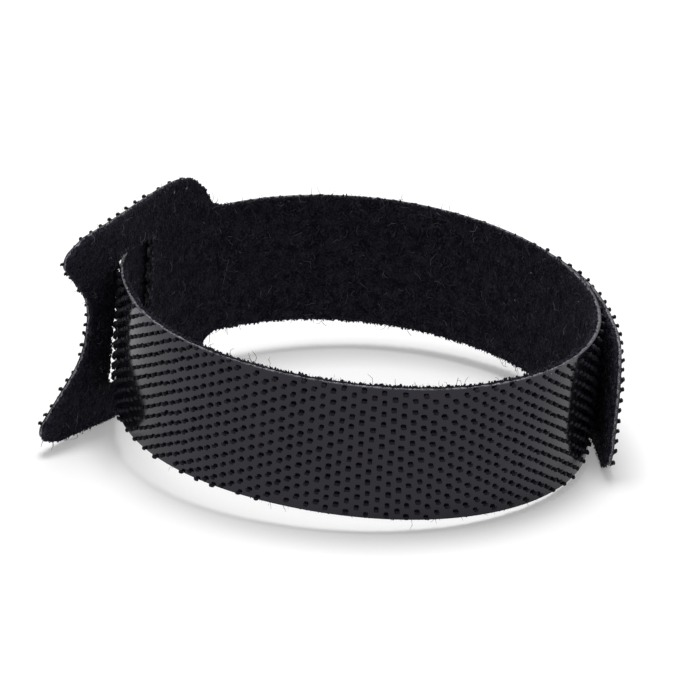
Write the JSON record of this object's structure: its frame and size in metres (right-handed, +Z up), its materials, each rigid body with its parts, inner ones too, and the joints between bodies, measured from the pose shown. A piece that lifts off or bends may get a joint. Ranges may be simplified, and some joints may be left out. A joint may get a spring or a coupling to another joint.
{
  "type": "hook and loop cable tie",
  "caption": "Reusable hook and loop cable tie closed into a loop: a flat strap passed through the slot in its own wide head, ending in a free tail.",
  "frame": {"origin": "under the middle of the tie's box, on the surface that it rests on", "axes": "+X along the longest side of the closed tie, from the head towards the tail, +Z up, across the strap's width"},
  "size_m": [0.05, 0.0412, 0.0202],
  "materials": {
    "laminate": "black, brushed loop pile inside the loop and moulded hooks outside"
  },
  "bodies": {
    "root": {"strap": "laminate"}
  },
  "joints": []
}
